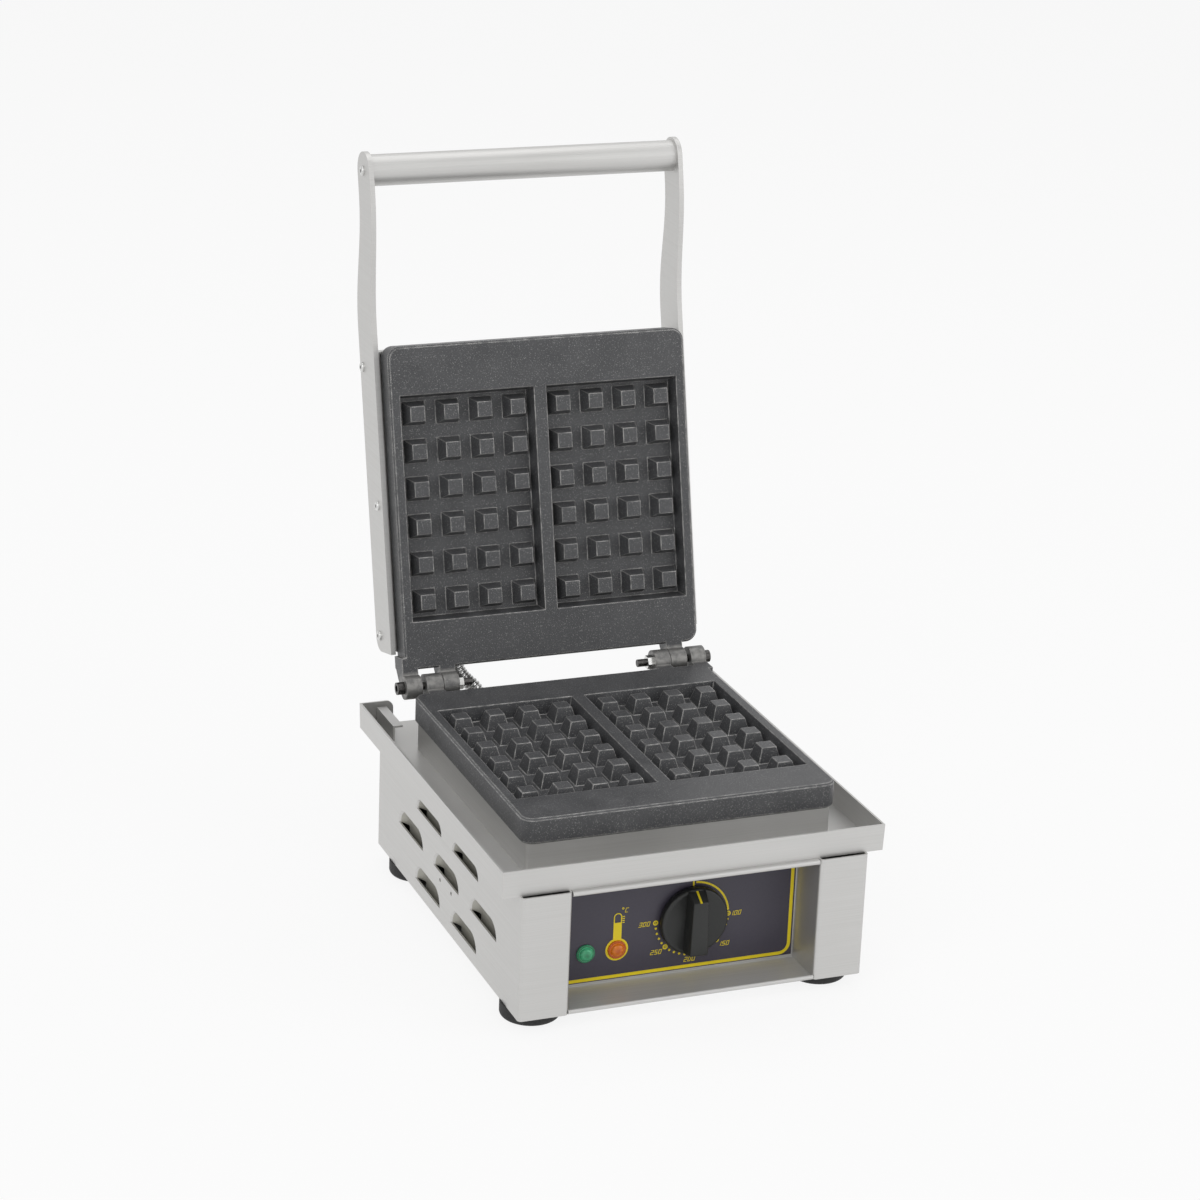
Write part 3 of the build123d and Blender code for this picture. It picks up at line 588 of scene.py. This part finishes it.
# Pilot lamps: a rim, a groove and a domed lens
lampProfile = [(5.4, -1.6), (7.3, -0.05), (7.35, 1.0), (6.9, 1.7), (6.2, 1.8), (5.7, 1.2), (5.3, 1.3), (5.1, 2.3),
               (4.5, 3.3), (3.4, 4.0), (1.8, 4.45), (0.6, 4.55)]
lensNames = (("greenLens", "green_lens", "green_lamp"), ("amberLens", "amber_lens", "amber_lamp"))
for name, slotName, nodeName in lensNames:
    x, y, z = lampLooks[slotName]["middle"]
    piece = newPiece(name, *lathe(lampProfile, (x / mm, y / mm, z / mm)), slotName, True)
    rest(piece, "base", slotName, nodeName)

# Knob: a skirted disc with a bar that slopes down to the rim at its pointer end
knob = dict(middle=(13.8, -177.057, 57.2), crown=16.4, baseDepth=5.4, crownTop=19.4, crownLow=-24.0,
            baseTop=26.0, baseLow=-25.6, topHalf=6.0, lowHalf=7.2, spread=1.6, bevel=1.1, bevelSteps=4)
skirtProfile = [(26.2, 0.0), (27.0, 0.8), (27.0, 4.6), (26.6, 5.8), (25.6, 6.5), (24.2, 6.5), (22.6, 5.9), (12.0, 5.6)]
skirt = lathe(skirtProfile, knob["middle"], 96)
middleX, backY, middleZ = knob["middle"]
bar = []
for depth, low, top, grow in ((knob["baseDepth"], knob["baseLow"], knob["baseTop"], knob["spread"]),
                              (knob["crown"], knob["crownLow"], knob["crownTop"], 0.0)):
    for z, wide in ((low, knob["lowHalf"] + grow), (top, knob["topHalf"] + grow)):
        bar += [(middleX - wide, backY - depth, middleZ + z), (middleX + wide, backY - depth, middleZ + z)]
grip = newPiece("knobGrip", bar, boxFaces, "black_knob")
shape = bmesh.new()
shape.from_mesh(grip.data)
bmesh.ops.bevel(shape, geom=list(shape.edges), offset=knob["bevel"] * mm, segments=knob["bevelSteps"], profile=0.5,
                affect="EDGES")
shape.to_mesh(grip.data)
shape.free()
for face in grip.data.polygons:
    face.use_smooth = True
rest(newPiece("knobSkirt", *skirt, "black_knob", True), "knob", "black_knob", "knob")
rest(grip, "knob", "black_knob")
lineHalf, lineSink, lineOut, lineStart, lineEnd = 0.85, 0.5, 0.12, 0.6, 0.3
slope = Vector((0, -(knob["crown"] - knob["baseDepth"]), knob["crownTop"] - knob["baseTop"])).normalized()
outward = Vector((0, slope.z, -slope.y))
lineFrom = Vector((middleX, backY - knob["baseDepth"], middleZ + knob["baseTop"])) + slope * lineStart
lineTo = Vector((middleX, backY - knob["crown"], middleZ + knob["crownTop"])) - slope * lineEnd
linePoints = []
for end in (lineFrom, lineTo):
    for side, lift in ((-lineHalf, -lineSink), (lineHalf, -lineSink), (lineHalf, lineOut), (-lineHalf, lineOut)):
        linePoints.append(tuple(end + Vector((side, 0, 0)) + outward * lift))
lineFaces = [(0, 1, 2, 3), (4, 7, 6, 5), (0, 4, 5, 1), (1, 5, 6, 2), (2, 6, 7, 3), (3, 7, 4, 0)]
rest(newPiece("knobLine", linePoints, lineFaces, "yellow_paint"), "knob", "yellow_paint", "knob_pointer")
print("lamps and knob made")


# Tubes along a line, for the hose and the recess's edge
def tube(line, radius, steps=20):
    points, faces = [], []
    firstWay = (Vector(line[1]) - Vector(line[0])).normalized()
    side = Vector((1, 0, 0)) if abs(firstWay.x) < 0.9 else Vector((0, 0, 1))
    for i, spot in enumerate(line):
        way = (Vector(line[min(i + 1, len(line) - 1)]) - Vector(line[max(i - 1, 0)])).normalized()
        side = (side - way * side.dot(way)).normalized()
        other = way.cross(side)
        for k in range(steps):
            angle = 2 * math.pi * k / steps
            points.append(tuple(Vector(spot) + side * radius * math.cos(angle)
                                + other * radius * math.sin(angle)))
    for i in range(len(line) - 1):
        for k in range(steps):
            a, b = i * steps, (i + 1) * steps
            faces.append((a + k, a + (k + 1) % steps, b + (k + 1) % steps, b + k))
    return points, faces + [tuple(range(steps)), tuple(range(len(points) - steps, len(points)))]


def torus(radius, thick, height, steps=28, around=8):
    # a ring round local z
    points, faces = [], []
    for i in range(steps):
        angle = 2 * math.pi * i / steps
        for k in range(around):
            turn = 2 * math.pi * k / around
            out = radius + thick * math.cos(turn)
            points.append((out * math.cos(angle), out * math.sin(angle), height * math.sin(turn)))
    for i in range(steps):
        for k in range(around):
            a, b = i * around, ((i + 1) % steps) * around
            faces.append((a + k, b + k, b + (k + 1) % around, a + (k + 1) % around))
    return points, faces


# Flexible hose with ribs, from the lid's bush to the tray's
hose = dict(lid=lidPoint(-74.0, 20.0, 36.0), lidLead=lidPoint(-74.0, 4.0, 36.0), footLead=(-52.0, 115.843, 134.4),
            foot=(-52.0, 115.843, 118.4), core=5.6, rib=5.6, ribThick=0.9, ribHeight=0.95, ribs=21, ribSpread=0.01,
            seed=7)
hosePoints = [hose[key] for key in ("lid", "lidLead", "footLead", "foot")]
hoseCurve = bpy.data.curves.new("hoseRoute", "CURVE")
hoseCurve.dimensions = "3D"
hoseCurve.resolution_u = 16
route = hoseCurve.splines.new("NURBS")
route.points.add(len(hosePoints) - 1)
for spot, point in zip(route.points, hosePoints):
    spot.co = (*(Vector(point) * mm), 1.0)
route.order_u = 3
route.use_endpoint_u = True
hoseRoute = bpy.data.objects.new("hoseRoute", hoseCurve)
bpy.context.scene.collection.objects.link(hoseRoute)
bpy.context.view_layer.update()
routeMesh = bpy.data.meshes.new_from_object(hoseRoute.evaluated_get(bpy.context.evaluated_depsgraph_get()))
hoseLine = [tuple(v.co / mm) for v in routeMesh.vertices]
bpy.data.objects.remove(hoseRoute)
hoseCore = newPiece("hoseCore", *tube(hoseLine, hose["core"]), "conduit_steel", True)
rib = newPiece("rib", *torus(hose["rib"], hose["ribThick"], hose["ribHeight"]), "conduit_steel", True)
hoseRibs = repeated("hoseRibs", repeatAlong, [hoseLine], rib, "conduit_steel", hose["ribSpread"], hose["seed"],
                    hose["ribs"])
for piece in (hoseCore, hoseRibs):
    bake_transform(piece)
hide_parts("flexible_conduit")

# Threads on the bolt tails beyond the nuts
thread = dict(inner=71.8, outer=79.3, radius=2.95, thick=0.22, height=0.4, turns=9)
tails = [[(side * thread["inner"], axisY, axisZ), (side * thread["outer"], axisY, axisZ)] for side in (-1, 1)]
turn = newPiece("threadTurn", *torus(thread["radius"], thread["thick"], thread["height"]), "black_bolt", True)
rest(repeated("boltThreads", repeatAlong, tails, turn, "black_bolt", count=thread["turns"]), "base", "black_bolt")

# Sockets in the heads of the arm and handle screws
recess = dict(face=134.7, radius=1.5, proud=0.06, sink=0.4, places=((38, 42), (144, 27), (254, 46), (409, 15)))
sixth = math.pi / 3
hexagon = [(recess["radius"] * math.sin(sixth * k), recess["radius"] * math.cos(sixth * k)) for k in range(6)]
socketPoints = [(x, y, z) for x in (-recess["sink"], recess["proud"]) for y, z in hexagon]
socketFaces = [tuple(range(6)), tuple(range(6, 12))] + [(k, (k + 1) % 6, (k + 1) % 6 + 6, k + 6) for k in range(6)]
for side, name in ((-1, "screwSocketsLeft"), (1, "screwSocketsRight")):
    spots = [lidPoint(side * recess["face"], reach, rise) for reach, rise in recess["places"]]
    turned = [(x * side, y, z) for x, y, z in socketPoints]
    socket = newPiece("socket", turned, socketFaces, "black_bolt")
    rest(repeated(name, repeatAt, [spots], socket, "black_bolt", seed=2), "lid", "black_bolt")

# Rolled edge over the front recess, and a strip that closes the slit between it and the tray
lip = dict(half=98.6, y=-214.2, z=108.9, radius=1.9, stripBack=-208.0, stripLow=110.0, stripHigh=110.85)
edgeLine = [(-lip["half"], lip["y"], lip["z"]), (lip["half"], lip["y"], lip["z"])]
lipParts = [tube(edgeLine, lip["radius"]),
            block((-lip["half"], lip["y"], lip["stripLow"]), (lip["half"], lip["stripBack"], lip["stripHigh"]))]
rest(newPiece("recessTopEdge", *joined(lipParts), "brushed_stainless"), "base", "brushed_stainless")

# Sheets that carry each louvre's scoop down behind the wall and take the side sheet's painted-shade inner colour,
# standing in for the shaded inside; in rows of height, number and half length
louvres = dict(wall=138.5, depth=6.0, thick=1.0, drop=8.0, rise=0.4, pitch=85.0, middle=-50.157,
               rows=((23.0, 2, 20.0), (53.0, 3, 20.0), (83.0, 2, 22.0)))
for side, name in ((-1, "louvreSkirtsLeft"), (1, "louvreSkirtsRight")):
    shadeSheets = []
    near = louvres["wall"] - louvres["depth"]
    xs = sorted((side * near, side * (near - louvres["thick"])))
    for z, number, reach in louvres["rows"]:
        for k in range(number):
            y = louvres["middle"] + (k - (number - 1) / 2) * louvres["pitch"]
            shadeSheets.append(block((xs[0], y - reach, z - louvres["drop"]), (xs[1], y + reach, z + louvres["rise"])))
    # these sheets are coloured with the painted inner shade of the side sheet
    rest(newPiece(name, *joined(shadeSheets), "side_sheet"), "base", "brushed_stainless")
print("hose, threads, sockets, edges and louvre skirts made")


# Stage: a pale floor that keeps the shadow, soft lamps and an even world
def isSeen(tree):
    rays = tree.nodes.new("ShaderNodeLightPath")
    seen = math2(tree, "MAXIMUM", rays.outputs["Is Camera Ray"], rays.outputs["Is Glossy Ray"])
    return math2(tree, "MAXIMUM", seen, rays.outputs["Is Transmission Ray"])


stage = dict(half=14.0, under=-0.0002, tones=((0.93, 0.93, 0.93), (0.96, 0.96, 0.96)), cloud=3.0,
             ownLight=0.86, ambient=0.62, aim=(0, 0, 0.2))
floorMesh = bpy.data.meshes.new("floor")
far, under = stage["half"], stage["under"]
floorMesh.from_pydata([(-far, -far, under), (far, -far, under), (far, far, under), (-far, far, under)], [],
                      [(0, 1, 2, 3)])
floor = bpy.data.objects.new("floor", floorMesh)
bpy.context.scene.collection.objects.link(floor)
floorFinish, tree, shader, place = startMaterial("floorFinish")
tree.links.new(blendColors(tree, noise(tree, place, stage["cloud"]), *stage["tones"]), shader.inputs["Base Color"])
shader.inputs["Roughness"].default_value = 0.9
shader.inputs["Specular IOR Level"].default_value = 0.0
glow = tree.nodes.new("ShaderNodeEmission")
glow.inputs["Strength"].default_value = 1.0
merge = tree.nodes.new("ShaderNodeMixShader")
tree.links.new(math2(tree, "MULTIPLY", isSeen(tree), stage["ownLight"]), merge.inputs["Fac"])
tree.links.new(shader.outputs["BSDF"], merge.inputs[1])
tree.links.new(glow.outputs["Emission"], merge.inputs[2])
output = next(n for n in tree.nodes if n.type == "OUTPUT_MATERIAL")
tree.links.new(merge.outputs["Shader"], output.inputs["Surface"])
floorMesh.materials.append(floorFinish)

world = bpy.data.worlds.new("evenWorld")
bpy.context.scene.world = world
world.use_nodes = True
tree = world.node_tree
tree.nodes.clear()
sky = tree.nodes.new("ShaderNodeBackground")
tree.links.new(spread(tree, isSeen(tree), 0.0, 1.0, stage["ambient"], 1.0), sky.inputs["Strength"])
tree.links.new(sky.outputs["Background"], tree.nodes.new("ShaderNodeOutputWorld").inputs["Surface"])

lamps = {
    "keyLamp": dict(place=(-2.4, -2.2, 2.6), size=2.6, power=34.0),
    "fillLamp": dict(place=(2.6, -2.0, 1.6), size=2.6, power=24.0),
    "topLamp": dict(place=(0.2, 0.8, 3.0), size=2.4, power=16.0),
}
for name, look in lamps.items():
    light = bpy.data.lights.new(name, "AREA")
    light.size = look["size"]
    light.energy = look["power"]
    lamp = bpy.data.objects.new(name, light)
    lamp.location = look["place"]
    lamp.rotation_euler = (Vector(stage["aim"]) - Vector(look["place"])).to_track_quat("-Z", "Y").to_euler()
    bpy.context.scene.collection.objects.link(lamp)

# Camera, matched to the photograph
view = dict(place=(-0.9446, -2.3190, 1.1669), right=(0.93057, -0.36411, 0.03836), down=(-0.09173, -0.33328, -0.93835),
            ahead=(0.35444, 0.86968, -0.34354), lens=103.03, sensor=36.0, clip=60.0)
lensData = bpy.data.cameras.new("camera")
lensData.lens = view["lens"]
lensData.sensor_width = view["sensor"]
lensData.clip_end = view["clip"]
camera = bpy.data.objects.new("camera", lensData)
columns = [Vector(view["right"]), -Vector(view["down"]), -Vector(view["ahead"])]
camera.matrix_world = Matrix.Translation(view["place"]) @ Matrix(columns).transposed().to_4x4()
bpy.context.scene.collection.objects.link(camera)
bpy.context.scene.camera = camera
bpy.context.scene.view_settings.view_transform = "Standard"
print("stage and camera made")
